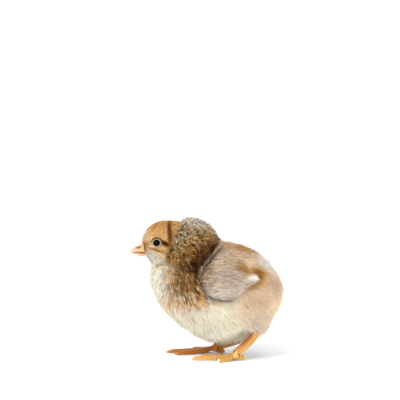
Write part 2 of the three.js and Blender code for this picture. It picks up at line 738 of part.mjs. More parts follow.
function buildRocker() {
  const halfFork = eccentricThrow + eccentricRadius + play
    + rockerLength * Math.sin(THREE.MathUtils.degToRad(legSwing)) + play;
  const forkFoot = rockerLength - eccentricThrow - eccentricRadius - 2 * gap;
  const forkTop = rockerLength + eccentricRadius;
  const outer = halfFork + tineWidth;
  const shape = shapeOf([
    [-outer, forkFoot - tineWidth], [-legHubRadius, 0], [legHubRadius, 0], [outer, forkFoot - tineWidth],
    [outer, forkTop], [halfFork, forkTop], [halfFork, forkFoot], [-halfFork, forkFoot],
    [-halfFork, forkTop], [-outer, forkTop],
  ]);
  const rocker = solid(slab(shape, rockerY, rockerY + rockerThickness))
    .add(solid(bar(legHubRadius, rockerY, rockerY + rockerThickness, [0, 0], roundSides)))
    .subtract(solid(bar(legAxleRadius + play, -farOut, farOut)));
  add(legs, 'leg_rocker', rocker, materials.steel, hip);
}

// One leg: a hub on the axle, the thigh and shank along their path, and the toes
function legSolid(side, path, tips) {
  const y = side * legY;
  const thighHalfWidth = Math.min(legHub / 2 - play, shankHalfWidth);
  const limb = path.map(([x, z], i) => ({
    at: [x, y, z],
    wide: i < 2 ? thighHalfWidth : shankHalfWidth,
    tall: i === 0 ? legHubRadius : shankHalfDepth,
  }));
  const root = path[path.length - 1];
  const knuckle = new THREE.SphereGeometry(knuckleRadius, 10, 6).translate(root[0], y, root[1] - knuckleDrop);
  let leg = solid(bar(legHubRadius, y - legHub / 2, y + legHub / 2, path[0], roundSides))
    .add(taperedTube(limb)).add(solid(knuckle));
  for (const [tip, splay] of tips) {
    leg = leg.add(taperedTube(toeStations.map(([share, height, radius]) => ({
      at: [root[0] + (tip - root[0]) * share, y + side * splay * share, height],
      wide: radius,
      tall: radius,
    }))));
  }
  const floor = solid(box([-farOut, -farOut, -farOut], [farOut, farOut, 0]));
  const bore = solid(bar(legAxleRadius + play, -farOut, farOut, path[0]));
  return leg.subtract(floor).subtract(bore);
}

function buildLegs() {
  for (const [name, side] of Object.entries(sides)) {
    add(legs, `leg_${name}`, legSolid(side, legPaths[name], toeTips[name]), materials.legRubber);
  }
  buildRocker();
  const hubOuter = legY + legHub / 2;
  const axleEnd = hubOuter + gap + clipThickness;
  add(legs, 'leg_axle', bar(legAxleRadius, -axleEnd, axleEnd), materials.steel, hip);
  for (const [name, side] of Object.entries(sides)) {
    const faces = [side * (hubOuter + gap / 2), side * (hubOuter + gap / 2 + clipThickness)];
    const clip = washer(clipRadius, legAxleRadius + play, Math.min(...faces), Math.max(...faces));
    add(legs, `axle_clip_${name}`, clip, materials.springSteel, hip);
  }
}

buildBodyCovers();
buildRuff();
buildWings();
buildShell();
buildHead();
buildFrame();
buildTrain();
buildWinding();
buildLegs();

// The toy's origin is under the middle of its box, on the floor
toy.updateMatrixWorld(true);
const extent = new THREE.Box3().setFromObject(toy);
const middle = extent.getCenter(new THREE.Vector3());
toy.position.set(-middle.x, -middle.y, -extent.min.z);
toy.updateMatrixWorld(true);

export default toy;
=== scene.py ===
import json
import math

import bmesh
import bpy
import numpy as np
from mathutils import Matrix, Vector
from mathutils.bvhtree import BVHTree
from mathutils.kdtree import KDTree


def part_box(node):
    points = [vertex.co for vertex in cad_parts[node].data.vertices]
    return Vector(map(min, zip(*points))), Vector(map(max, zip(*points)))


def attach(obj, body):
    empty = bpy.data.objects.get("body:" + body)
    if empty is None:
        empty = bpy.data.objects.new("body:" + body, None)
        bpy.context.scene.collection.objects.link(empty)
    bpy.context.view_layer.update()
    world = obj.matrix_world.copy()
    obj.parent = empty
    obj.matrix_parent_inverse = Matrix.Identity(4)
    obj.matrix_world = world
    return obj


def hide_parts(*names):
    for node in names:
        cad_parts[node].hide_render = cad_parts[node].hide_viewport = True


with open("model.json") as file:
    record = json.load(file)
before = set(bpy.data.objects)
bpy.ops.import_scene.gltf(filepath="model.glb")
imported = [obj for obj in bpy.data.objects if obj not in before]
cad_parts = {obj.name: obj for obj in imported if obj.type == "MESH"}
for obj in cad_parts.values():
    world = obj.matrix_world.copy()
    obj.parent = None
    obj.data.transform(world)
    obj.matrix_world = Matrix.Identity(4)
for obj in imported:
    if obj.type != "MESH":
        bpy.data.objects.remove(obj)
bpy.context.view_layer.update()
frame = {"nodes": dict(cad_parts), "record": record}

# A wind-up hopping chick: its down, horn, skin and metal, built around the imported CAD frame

scene = bpy.context.scene
MM = 0.001
BODY = "toy_body"
LEGS = "leg_set"

# Places on the chick are in millimetres: X from beak to tail, Y from its mid-plane, Z up from the floor
MID_Y = (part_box("body_down_left")[1].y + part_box("body_down_right")[0].y) / 2
ORIGIN = Vector((0.0, MID_Y, 0.0))


def place(x, y, z):
    """A point given in millimetres in the chick's own places."""
    return ORIGIN + Vector((x, y, z)) * MM


def local(points):
    """Frame points, in metres, as millimetres in the chick's own places."""
    return (np.asarray(points) - np.array(ORIGIN)) / MM


# ---------------------------------------------------------------- camera, light and floor

CAMERA_DISTANCE = 0.80
CAMERA_ELEVATION = 9.5
VIEW_WIDTH = 0.200          # what the frame takes in, at the chick
AIM = (-2.75, 0.0, 79.0)    # the middle of the frame, high over the chick
CHICK_MIDDLE = (0.0, 0.0, 33.5)
WORLD_LIGHT = 1.22
WINDOW_LIGHT = 1.9
WINDOW_SPREAD = 40.0        # degrees across, which softens its shadow
WINDOW_FROM = (-0.55, -0.55, 0.80)
WINDOW_COLOUR = (1.0, 0.985, 0.96)
FLOOR_HALF = 6.0            # metres from its middle to each side
FLOOR_SHADE = (0.90, 0.93, 0.97, 1.0)


def make_camera():
    camera = bpy.data.objects.new("camera", bpy.data.cameras.new("camera"))
    scene.collection.objects.link(camera)
    tilt = math.radians(CAMERA_ELEVATION)
    back = Vector((0.0, -math.cos(tilt), math.sin(tilt)))
    camera.location = place(*CHICK_MIDDLE) + back * CAMERA_DISTANCE
    camera.rotation_euler = (place(*AIM) - camera.location).to_track_quat("-Z", "Y").to_euler()
    camera.data.angle = 2 * math.atan(VIEW_WIDTH / 2 / CAMERA_DISTANCE)
    scene.camera = camera


def make_studio():
    scene.view_settings.view_transform = "Standard"
    world = bpy.data.worlds.new("studio")
    world.use_nodes = True
    background = world.node_tree.nodes["Background"]
    background.inputs["Color"].default_value = (1.0, 1.0, 1.0, 1.0)
    background.inputs["Strength"].default_value = WORLD_LIGHT
    scene.world = world
    light = bpy.data.lights.new("window", "SUN")
    light.energy = WINDOW_LIGHT
    light.angle = math.radians(WINDOW_SPREAD)
    light.color = WINDOW_COLOUR
    window = bpy.data.objects.new("window", light)
    window.rotation_euler = (-Vector(WINDOW_FROM)).to_track_quat("-Z", "Y").to_euler()
    scene.collection.objects.link(window)

    floor_mesh = bpy.data.meshes.new("floor")
    corners = [(x * FLOOR_HALF, y * FLOOR_HALF, 0) for x, y in ((-1, -1), (1, -1), (1, 1), (-1, 1))]
    floor_mesh.from_pydata(corners, [], [(0, 1, 2, 3)])
    floor = bpy.data.objects.new("floor", floor_mesh)
    scene.collection.objects.link(floor)
    paper = bpy.data.materials.new("paper")
    paper.use_nodes = True
    shader = paper.node_tree.nodes["Principled BSDF"]
    shader.inputs["Base Color"].default_value = FLOOR_SHADE
    shader.inputs["Roughness"].default_value = 0.9
    shader.inputs["Specular IOR Level"].default_value = 0.1
    floor_mesh.materials.append(paper)


# ---------------------------------------------------------------- materials

def srgb(*levels):
    """A colour given as 0-255 screen levels, in linear light."""
    shares = [np.clip(np.asarray(level) / 255, 0, 1) for level in levels]
    return tuple(np.where(v <= 0.04045, v / 12.92, ((v + 0.055) / 1.055) ** 2.4) for v in shares)


def shaded(name, colour, roughness, metallic=0.0, specular=0.5, coat=0.0):
    material = bpy.data.materials.new(name)
    material.use_nodes = True
    shader = material.node_tree.nodes["Principled BSDF"]
    shader.inputs["Base Color"].default_value = (*colour, 1.0)
    shader.inputs["Roughness"].default_value = roughness
    shader.inputs["Metallic"].default_value = metallic
    shader.inputs["Specular IOR Level"].default_value = specular
    shader.inputs["Coat Weight"].default_value = coat
    return material


def add_node(material, kind, **settings):
    node = material.node_tree.nodes.new(kind)
    for key, value in settings.items():
        if key in node.inputs:
            node.inputs[key].default_value = value
        else:
            setattr(node, key, value)
    return node


NOISE_DETAIL = 4.0
RAMP_STOPS = (0.35, 0.65)
BUMP_STRENGTH = 0.5


def object_noise(material, scale):
    where = add_node(material, "ShaderNodeTexCoord")
    texture = add_node(material, "ShaderNodeTexNoise", Scale=scale, Detail=NOISE_DETAIL)
    material.node_tree.links.new(where.outputs["Object"], texture.inputs["Vector"])
    return texture


def ramp_between(material, factor, low, high):
    ramp = add_node(material, "ShaderNodeValToRGB")
    for stop, position, colour in zip(ramp.color_ramp.elements, RAMP_STOPS, (low, high)):
        stop.position = position
        stop.color = (*colour, 1.0)
    material.node_tree.links.new(factor, ramp.inputs["Fac"])
    return ramp.outputs["Color"]


def add_bump(material, height, distance):
    bump = add_node(material, "ShaderNodeBump", Strength=BUMP_STRENGTH, Distance=distance)
    material.node_tree.links.new(height, bump.inputs["Height"])
    shader = material.node_tree.nodes["Principled BSDF"]
    material.node_tree.links.new(bump.outputs["Normal"], shader.inputs["Normal"])


def wear(mesh, material):
    """Makes a material the only one of a mesh."""
    mesh.materials.clear()
    mesh.materials.append(material)


def add_colour_layer(mesh, layer_name, levels):
    """Stores screen levels, given for each vertex, in a colour layer of the mesh."""
    colours = np.ones((len(levels), 4))
    colours[:, :3] = np.stack(srgb(*levels.T), axis=1)
    layer = mesh.color_attributes.new(layer_name, "FLOAT_COLOR", "POINT")
    layer.data.foreach_set("color", colours.ravel())


def mottled(name, low, high, roughness, scale, bump, **rest):
    """A material whose colour wanders between two shades, with a fine bump of the same grain."""
    material = shaded(name, high, roughness, **rest)
    texture = object_noise(material, scale)
    shader = material.node_tree.nodes["Principled BSDF"]
    colour = ramp_between(material, texture.outputs["Fac"], low, high)
    material.node_tree.links.new(colour, shader.inputs["Base Color"])
    add_bump(material, texture.outputs["Fac"], bump)
    return material


# ---------------------------------------------------------------- the coat's colours

# The shades that strands of down are dyed in, as screen levels; each comes in four depths
SHADES = [
    (58, 32, 12), (84, 56, 34), (124, 66, 20), (122, 84, 50), (160, 108, 50), (184, 130, 72),
    (206, 160, 100), (212, 174, 130), (228, 198, 162), (240, 221, 196), (250, 238, 222),
    (234, 190, 126), (142, 92, 44),
    (120, 98, 78), (152, 130, 110), (180, 160, 144), (200, 184, 170), (224, 219, 218),
]
DEPTHS = (0.62, 0.8, 1.0, 1.12)


def coat_palette():
    """One material for each shade and depth, with the table of their colours."""
    levels = np.array([[min(255.0, v * depth) for v in shade] for shade in SHADES for depth in DEPTHS])
    palette = [
        shaded(f"down_{order:02d}", srgb(*level), 0.85, specular=0.06)
        for order, level in enumerate(levels)
    ]
    return palette, levels


MARKS_SEEN_FROM = 9.5       # degrees above level: the marks are laid out as the flank looks from there
MARK_SLOPE = math.tan(math.radians(MARKS_SEEN_FROM))


def seen(places):
    """Places with Z as the marks count it: on both flanks, what stands out sideways lies lower."""
    return places - np.abs(places[:, 1:2]) * np.array([0.0, 0.0, MARK_SLOPE])


def spot(places, x, z, rx, rz, turn=0.0):
    """1 at the middle of an oval seen from the side, fading to 0 past its edge."""
    angle = math.radians(turn)
    dx = places[:, 0] - x
    dz = places[:, 2] - z
    u = (dx * math.cos(angle) + dz * math.sin(angle)) / rx
    v = (-dx * math.sin(angle) + dz * math.cos(angle)) / rz
    return np.exp(-(u * u + v * v))


def paint(places, base, marks):
    """Screen levels at some places: a ground colour with soft oval marks laid over it in turn.

    A mark is its middle X and Z, its half lengths, its turn in degrees, its colour and its strength."""
    places = seen(places)
    colour = np.tile(np.array(base, float), (len(places), 1))
    for x, z, rx, rz, turn, shade, strength in marks:
        weight = strength * spot(places, x, z, rx, rz, turn)[:, None]
        colour += (np.array(shade) - colour) * np.minimum(weight, 1.0)
    return colour


FACE_GROUND = (230, 182, 116)
FACE_MARKS = [
    (-22, 66, 7, 4, 0, (200, 148, 80), 0.9),                # crown
    (-30.5, 61, 3.4, 6, 30, (250, 222, 172), 1.1),          # forehead
    (-15.5, 63.5, 1.6, 7, 0, (196, 146, 92), 0.7),          # behind the crease
    (-21, 51, 5, 4, 0, (216, 164, 96), 0.8),                # ear
    (-25.5, 53.2, 3.6, 2.2, -15, (248, 218, 166), 1.0),     # cheek
    (-27.5, 47, 8, 4.6, 0, (255, 246, 226), 1.5),           # throat
    (-29.3, 50.5, 2.5, 2.5, 0, (255, 248, 234), 1.3),       # chin
    (-29, 56.8, 1.6, 1.6, 0, (196, 134, 76), 0.8),          # before the eye
    (-27, 55.4, 1.8, 1.2, -20, (244, 208, 170), 0.9),       # under the eye
    (-24.2, 53.6, 4, 0.6, -18, (168, 112, 52), 1.0),        # line from the gape
    (-17.6, 62.6, 1.0, 6.0, 4, (104, 50, 10), 1.4),         # painted shade in the crease behind the crown
    (-19.6, 56.8, 2.2, 1.1, -28, (76, 32, 6), 1.5),         # behind the eye
]
RUFF_GROUND = (142, 86, 34)
RUFF_MARKS = [
    (-5, 66.5, 13, 5, -8, (226, 200, 178), 1.0),            # top
    (4.5, 62, 4, 6, 0, (206, 160, 116), 0.9),               # back
    (-6, 60, 8, 4, 0, (176, 134, 94), 0.8),
    (-13.5, 60, 3.5, 7, 0, (206, 172, 136), 1.0),           # behind the crown
    (-9.5, 70, 4, 2.4, 0, (255, 252, 250), 1.2),            # white tufts on the top
    (-1.5, 68.5, 3.4, 2.4, -15, (246, 236, 228), 1.1),
    (-17, 48.5, 4.5, 4.5, 0, (186, 114, 44), 1.0),          # under the cheek
    (-2, 53, 7, 4, 40, (100, 62, 28), 0.8),
    (0.5, 50.5, 10, 2.2, 54, (50, 26, 10), 1.2),            # painted shade in the fold over the wing's root
    (-6.5, 45.5, 4.4, 3.6, 30, (46, 26, 10), 1.0),          # painted shade where the fold ends
]
BODY_GROUND = (254, 232, 202)
BODY_MARKS = [
    (17, 54, 20, 8, -16, (206, 174, 146), 1.0),             # back
    (16, 56, 12, 2.0, -19, (178, 122, 76), 0.8),            # ridge of the back
    (34.5, 36, 6, 8, 0, (208, 184, 154), 1.0),              # rump
    (25, 27, 11, 9, 0, (204, 172, 140), 0.8),               # flank
    (27, 17, 10, 6, 0, (210, 192, 170), 0.8),               # under the tail
    (30.5, 47, 5.6, 3.2, -42, (226, 222, 224), 1.2),        # pale patch on the rump
    (25, 41.0, 4.2, 3.6, 0, (158, 102, 48), 1.3),           # rust behind the wing's tip
    (22.5, 36.0, 6.0, 2.4, 12, (190, 144, 96), 1.1),        # under the wing's tip
    (-9.4, 38.0, 7.8, 9.0, 12, (112, 76, 42), 1.3),         # bib
    (-5.0, 42, 3.6, 5, 0, (62, 38, 20), 0.9),               # painted shade where it meets the fold
    (-8.0, 27.5, 10, 3.4, -2, (226, 174, 114), 1.0),        # lower rim of the bib
    (-2.0, 31.0, 3.0, 3.6, 0, (150, 92, 38), 0.8),          # rim under the wing
    (-17.5, 40, 2.4, 8, 0, (222, 180, 128), 0.7),           # front rim of the bib
    (-25, 38, 5.0, 16, -10, (255, 236, 210), 1.3),          # breast
]
WING_GROUND = (180, 162, 146)
WING_MARKS = [
    (8, 50, 9, 5, -20, (190, 162, 140), 0.9),               # root
    (0.5, 43, 3.2, 10, -18, (140, 118, 94), 0.8),           # front edge
    (19.5, 43.6, 5.5, 2.4, -32, (156, 108, 62), 1.0),       # upper edge
    (7, 32, 10, 3.4, 0, (204, 188, 174), 1.0),              # lower edge
    (17, 35, 5, 3, 25, (206, 192, 178), 0.8),
    (22.6, 39.6, 2.6, 1.6, 20, (250, 242, 234), 1.3),       # tip
]


# ---------------------------------------------------------------- skins

def link(name, mesh):
    """A new object in the scene that shows a mesh."""
    piece = bpy.data.objects.new(name, mesh)
    scene.collection.objects.link(piece)
    return piece


def vertex_values(mesh, what):
    """One vector for each vertex of a mesh: what is "co" or "normal"."""
    values = np.empty(len(mesh.vertices) * 3)
    mesh.vertices.foreach_get(what, values)
    return values.reshape(-1, 3)


def vertex_places(mesh):
    """Each vertex's place on the chick, in millimetres."""
    return local(vertex_values(mesh, "co"))


def move_vertices(mesh, points):
    mesh.vertices.foreach_set("co", points.ravel())
    mesh.update()


def smooth_faces(mesh):
    mesh.polygons.foreach_set("use_smooth", np.ones(len(mesh.polygons), bool))


def apply_modifier(piece, kind, **settings):
    """Gives a piece the mesh that a modifier makes of it."""
    modifier = piece.modifiers.new(kind.lower(), kind)
    for key, value in settings.items():
        setattr(modifier, key, value)
    bpy.context.view_layer.update()
    evaluated = piece.evaluated_get(bpy.context.evaluated_depsgraph_get())
    mesh = bpy.data.meshes.new_from_object(evaluated)
    piece.modifiers.clear()
    old = piece.data
    piece.data = mesh
    bpy.data.meshes.remove(old)


def hull_of(nodes):
    """A mesh of the convex hull of some CAD nodes."""
    shape = bmesh.new()
    for node in nodes:
        shape.from_mesh(frame["nodes"][node].data)
    result = bmesh.ops.convex_hull(shape, input=shape.verts)
    inside = result["geom_interior"] + result["geom_unused"]
    spare = {v for v in inside if isinstance(v, bmesh.types.BMVert)}
    bmesh.ops.delete(shape, geom=list(spare), context="VERTS")
    loose = [v for v in shape.verts if not v.link_faces]
    bmesh.ops.delete(shape, geom=loose, context="VERTS")
    bmesh.ops.recalc_face_normals(shape, faces=shape.faces)
    mesh = bpy.data.meshes.new("hull")
    shape.to_mesh(mesh)
    shape.free()
    return mesh


SKIN_SOFTENING = 0.6         # share of the way that a smoothing step moves a vertex of a skin


def skin_over(name, nodes, depth, voxel=0.9, smoothing=12):
    """A smooth closed skin that lies `depth` millimetres under the outer surface of some CAD nodes."""
    skin = link(name, hull_of(nodes))
    apply_modifier(skin, "REMESH", mode="VOXEL", voxel_size=voxel * MM)
    apply_modifier(skin, "SMOOTH", factor=SKIN_SOFTENING, iterations=smoothing)
    mesh = skin.data
    move_vertices(mesh, vertex_values(mesh, "co") - vertex_values(mesh, "normal") * depth * MM)
    smooth_faces(mesh)
    return skin


def bvh(piece):
    return BVHTree.FromObject(piece, bpy.context.evaluated_depsgraph_get())


PROBE = Vector((0.31, -0.83, 0.46)).normalized()
PAST_HIT = 1e-6             # metres that a probe goes on past each surface it meets
MOST_HITS = 32


def buried(tree, point, depth):
    """True where a point lies more than `depth` metres inside the closed surface held by the tree."""
    nearest = tree.find_nearest(point)[0]
    if (point - nearest).length < depth:
        return False
    crossings = 0
    start = point
    while crossings < MOST_HITS:
        hit = tree.ray_cast(start, PROBE)[0]
        if hit is None:
            break
        crossings += 1
        start = hit + PROBE * PAST_HIT
    return crossings % 2 == 1


# ---------------------------------------------------------------- down

def scatter(skin, count, rng):
    """Random places on a skin, spread by area: points and normals, in metres."""
    mesh = skin.data
    mesh.calc_loop_triangles()
    corners = np.empty(len(mesh.loop_triangles) * 3, np.int32)
    mesh.loop_triangles.foreach_get("vertices", corners)
    corners = corners.reshape(-1, 3)
    points = vertex_values(mesh, "co")
    normals = vertex_values(mesh, "normal")
    a, b, c = (points[corners[:, i]] for i in range(3))
    area = np.linalg.norm(np.cross(b - a, c - a), axis=1)
    pick = rng.choice(len(corners), size=count, p=area / area.sum())
    u = np.sqrt(rng.random(count))[:, None]
    v = rng.random(count)[:, None]
    weights = [1 - u, u * (1 - v), u * v]
    where = sum(w * points[corners[pick, i]] for i, w in enumerate(weights))
    facing = sum(w * normals[corners[pick, i]] for i, w in enumerate(weights))
    return where, unit(facing)


def unit(vectors):
    """Vectors brought to a length of 1."""
    return vectors / np.maximum(np.linalg.norm(vectors, axis=1, keepdims=True), 1e-9)


def along_surface(direction, normals):
    """Directions laid down along the surface that has these normals."""
    return unit(direction - normals * np.sum(direction * normals, axis=1, keepdims=True))


def between(value, low, high):
    """0 below low, 1 above high, and smooth between."""
    t = np.clip((value - low) / (high - low), 0, 1)
    return t * t * (3 - 2 * t)


RUNGS = 4                   # cross sections of a strand, the last one its point
TAPER = (1.0, 0.85, 0.5)    # widths of the others, against the root's
LENGTHS = (0.6, 1.3)        # the range of strands' lengths, against the coat's
WIDTHS = (0.7, 1.3)
KNEE_RISE = 0.7             # where a strand bends: its share of the way up, and of the way along
KNEE_RUN = 0.25
FACING_SPREAD = 0.4         # how unevenly blades face, and how much of that their shading takes
FACING_SHARE = 0.5
DYED_AT = 0.6               # how far from root to tip the place is that gives a strand its colour
PULLS = (0.4, 1.0)          # the range of how strongly strands are drawn into their tuft
ROOT_SINK = 0.3             # millimetres that a strand starts under its skin
BURIED = 1.2 * MM           # strands are left out where another skin covers them this deep

TUFT_GRAIN = 0.7            # how much of the speckle a tuft's strands share
STRAND_GRAIN = 0.8          # and how much is each strand's own
LIGHTS = (0.25, 1.8)        # the darkest and the palest that the speckle makes a strand
WARMTH = (4.0, 0.0, -5.0)   # screen levels that strands wander by, warmer or cooler
TIP_LIGHT = 1.12            # of a strand's end against its middle
FROST = (228, 188, 144)     # pale flecks among the speckled down
FROST_COVER = 0.75          # at the end of a flecked strand


def grow(name, skin, count, seed, coat, tufts, hidden_by):
    """A piece of down: `count` tapered blades over a skin, combed, tufted and dyed as `coat` says."""
    rng = np.random.default_rng(seed)
    roots, normals = scatter(skin, count, rng)
    style = coat(local(roots))
    keep = rng.random(count) < style["density"]
    for tree in hidden_by:
        keep &= np.array([k and not buried(tree, Vector(p), BURIED) for k, p in zip(keep, roots)])
    roots, normals = roots[keep] / MM, normals[keep]
    style = {key: value[keep] if isinstance(value, np.ndarray) else value for key, value in style.items()}
    total = len(roots)

    comb = along_surface(style["flow"] + rng.normal(0, style["stray"], (total, 3)), normals)
    length = style["length"] * rng.uniform(*LENGTHS, total)
    lift = np.radians(style["lift"] + rng.normal(0, style["lift_spread"], total))
    rise = (np.sin(lift) * length)[:, None] * normals
    run = (np.cos(lift) * length)[:, None] * comb
    tips = roots + rise + run + style["droop"][:, None] * np.array([0, 0, -1.0])
    tips, tuft = gather(tips, roots, rng, style["clump"], tufts)

    start = roots - normals * ROOT_SINK
    curl = rng.normal(0, style["curl"], (total, 3)) * length[:, None]
    knee = roots + rise * KNEE_RISE + run * KNEE_RUN + curl
    t = np.linspace(0, 1, RUNGS)[:, None, None]
    spine = (1 - t) ** 2 * start + 2 * (1 - t) * t * knee + t ** 2 * tips
    facing = unit(normals + rng.normal(0, FACING_SPREAD, (total, 3)))
    side = unit(np.cross(tips - start, facing))
    width = style["width"] * rng.uniform(*WIDTHS, total)
    half = side * (width / 2)[:, None] * np.array(TAPER)[:, None, None]
    rungs = np.concatenate([spine[:-1] - half, spine[:-1] + half, spine[-1:]])
    verts = rungs.transpose(1, 0, 2).reshape(-1, 3) * MM
    soft = unit(normals + FACING_SHARE * facing + style["ruffle"][:, None] * tufts["lean"][tuft])
    dyed_at = local((roots * (1 - DYED_AT) + tips * DYED_AT) * MM)
    shades = dye_strands(style, dyed_at, tufts, tuft, rng)
    return blades(name, verts, np.repeat(soft, len(rungs), axis=0), shades)


def make_tufts(skin, count, seed):
    """The tufts that all the pieces of a skin's down share: where they stand and how each differs."""
    rng = np.random.default_rng(seed)
    centres = scatter(skin, count, rng)[0] / MM
    tree = KDTree(count)
    for order, centre in enumerate(centres):
        tree.insert(centre, order)
    tree.balance()
    return {
        "tree": tree,
        "centres": centres,
        "lean": rng.normal(0, 1, (count, 3)),
        "light": rng.normal(0, 1, count),
        "luck": rng.random(count),
    }


def gather(tips, roots, rng, strength, tufts):
    """Draws the tips of each tuft together; gives the tips and the number of each strand's tuft."""
    tuft = np.array([tufts["tree"].find(p)[1] for p in roots])
    count = len(tufts["centres"])
    members = np.maximum(np.bincount(tuft, minlength=count), 1)[:, None]
    reach = np.stack([np.bincount(tuft, axis, count) for axis in (tips - roots).T], axis=1) / members
    points = (tufts["centres"] + reach)[tuft]
    pull = (strength * rng.uniform(*PULLS, len(tips)))[:, None]
    return tips * (1 - pull) + points * pull, tuft


def dye_strands(style, places, tufts, tuft, rng):
    """The palette index of each section of each strand; strands of one tuft are alike."""
    total = len(places)
    grain = TUFT_GRAIN * tufts["light"][tuft] + STRAND_GRAIN * rng.normal(0, 1, total)
    light = np.clip(1 + grain * style["speckle"], *LIGHTS)
    warmth = rng.normal(0, 1, total)[:, None] * np.array(WARMTH)
    colour = paint(places, *style["paint"]) * light[:, None] + warmth
    frosted = tufts["luck"][tuft] < style["frost"]
    sections = []
    # Each strand runs from a darker root to a paler tip: partly the down's own colour, partly painted shade
    # deep in the coat
    for order in range(RUNGS - 1):
        share = order / (RUNGS - 2)
        section = colour * (style["root"] + (TIP_LIGHT - style["root"]) * share)[:, None]
        section[frosted] += (np.array(FROST) - section[frosted]) * (FROST_COVER * share)
        sections.append(nearest_shade(section))
    return np.stack(sections, axis=1)


def nearest_shade(colours):
    """The palette index nearest to each colour."""
    squares = (colours ** 2).sum(axis=1)[:, None] + (LEVELS ** 2).sum(axis=1)[None, :]
    return np.argmin(squares - 2 * colours @ LEVELS.T, axis=1)


def blades(name, verts, normals, shades):
    """The mesh of all strands: two quads and a pointed end each."""
    total = len(shades)
    rungs = RUNGS - 1
    base = np.arange(total)[:, None] * (2 * rungs + 1)
    quads = [base + np.array([i, rungs + i, rungs + i + 1, i + 1]) for i in range(rungs - 1)]
    point = base + np.array([rungs - 1, 2 * rungs - 1, 2 * rungs])
    loops = np.concatenate([*quads, point], axis=1)
    sizes = np.tile(np.array([4] * (rungs - 1) + [3]), total)
    mesh = bpy.data.meshes.new(name)
    mesh.vertices.add(len(verts))
    mesh.vertices.foreach_set("co", verts.ravel())
    mesh.loops.add(loops.size)
    mesh.loops.foreach_set("vertex_index", loops.ravel())
    mesh.polygons.add(len(sizes))
    mesh.polygons.foreach_set("loop_start", np.concatenate([[0], np.cumsum(sizes)[:-1]]))
    smooth_faces(mesh)
    for material in PALETTE:
        mesh.materials.append(material)
    mesh.polygons.foreach_set("material_index", shades.ravel().astype(np.int32))
    mesh.update(calc_edges=True)
    mesh.normals_split_custom_set_from_vertices(normals)
    return link(name, mesh)


# ---------------------------------------------------------------- how each part's down lies

NECK_POLE = np.array([-20.0, 0.0, 54.0])
TAIL_POLE = np.array([40.0, 0.0, 24.0])
BEAK_POLE = np.array([-33.0, 0.0, 53.0])
HEAD_POLE = np.array([-18.0, 0.0, 58.0])
WING_TIP = np.array([26.5, 0.0, 42.5])
EYE = (-24.0, 59.1)             # X and Z
BEAK_ROOT = (-31.5, 54.0)


def from_pole(places, pole):
    """Directions straight away from a point, longer the nearer it is."""
    away = places - pole
    return away / np.maximum(np.sum(away * away, axis=1, keepdims=True), 1e-6)


def even(places, value):
    """The same value at all places."""
    return np.full(len(places), float(value))


def body_coat(places):
    """Long down that runs from the neck to the tail and hangs a little."""
    flow = unit(from_pole(places, NECK_POLE) * 0.9 - from_pole(places, TAIL_POLE)) + np.array([0, 0, -0.35])
    places = seen(places)
    x, z = places[:, 0], places[:, 2]
    bib = spot(places, -8.0, 37.5, 8.0, 9.5)
    belly = 1 - between(z, 12, 24)
    breast = between(-x, 10, 20)
    thigh = np.clip(1.4 - np.hypot((x - 22) / 5.5, (np.abs(places[:, 1]) - 9.5) / 6), 0, 1)
    thigh *= 1 - between(z, 18, 24)
    return {
        "density": even(places, 1.0),
        "paint": (BODY_GROUND, BODY_MARKS),
        "root": 0.95 - 0.50 * bib,
        "ruffle": 0.08 + 0.44 * bib,
        "speckle": 0.03 + 0.80 * bib,
        # Fewer pale flecks where the bib meets the fold, so that the painted shade there stays dark
        "frost": 0.32 * bib * (1 - 0.6 * spot(places, -5.5, 44, 6, 6)),
        "flow": flow,
        "stray": 0.30,
        "curl": 0.08,
        "length": 4.8 + 0.8 * belly + 3.0 * thigh,
        "lift": 27 + 8 * breast + 6 * belly,
        "lift_spread": 12.0,
        "droop": 0.5 * belly + 2.5 * thigh,
        "clump": 0.20 + 0.35 * bib,
        "width": 0.20 + 0.12 * bib,
    }


def ruff_coat(places):
    """A loose collar that stands off the neck, all flecked."""
    flow = unit(from_pole(places, HEAD_POLE)) + np.array([0.35, 0, -0.25])
    places = seen(places)
    z = places[:, 2]
    top = between(z, 57, 68)
    # Fewer pale flecks in the fold, so that its painted shade stays dark
    fold = np.maximum(spot(places, 1, 51, 12, 5, 54), spot(places, -6.5, 45, 8, 6))
    return {
        "density": even(places, 1.0),
        "paint": (RUFF_GROUND, RUFF_MARKS),
        "root": 0.46 + 0.24 * top,
        "ruffle": even(places, 0.5),
        "speckle": 0.78 - 0.46 * top,
        "frost": 0.22 * (1 - 0.7 * fold),
        "flow": flow,
        "stray": 0.42,
        "curl": 0.22,
        "length": 5.2 + 0.2 * top,
        "lift": 46 - 4 * top,
        "lift_spread": 15.0,
        "droop": 0.6 * (1 - top),
        "clump": even(places, 0.6),
        "width": even(places, 0.30),
    }


def face_coat(places):
    """Short down combed back from the beak, longer and hanging at the throat."""
    flow = unit(from_pole(places, BEAK_POLE)) + np.array([0.1, 0, -0.1])
    x, z = places[:, 0], places[:, 2]
    side = np.abs(places[:, 1])
    throat = (1 - between(seen(places)[:, 2], 46.0, 51.0)) * between(-x, 18, 24)
    flow += throat[:, None] * (np.array([0.25, 0, -2.0]) - flow)
    from_eye = np.hypot(x - EYE[0], z - EYE[1])
    bare_eye = np.where(side > 5, between(from_eye, 2.6, 3.1), 1.0)
    from_beak = np.hypot(x - BEAK_ROOT[0], (z - BEAK_ROOT[1]) * 0.75)
    bare_beak = np.where(side < 3.5, between(from_beak, 1.8, 2.6), 1.0)
    return {
        "density": bare_eye * bare_beak,
        "paint": (FACE_GROUND, FACE_MARKS),
        "root": even(places, 0.82),
        "ruffle": even(places, 0.2),
        "speckle": even(places, 0.11),
        "frost": even(places, 0.0),
        "flow": flow,
        "stray": 0.14,
        "curl": 0.04,
        "length": 1.5 + 2.4 * between(x, -21, -14) + 5.0 * throat,
        "lift": 22 + 16 * between(x, -18, -13) - 8 * throat,
        "lift_spread": 6.0,
        "droop": even(places, 0.0),
        "clump": even(places, 0.15),
        "width": even(places, 0.15),
    }


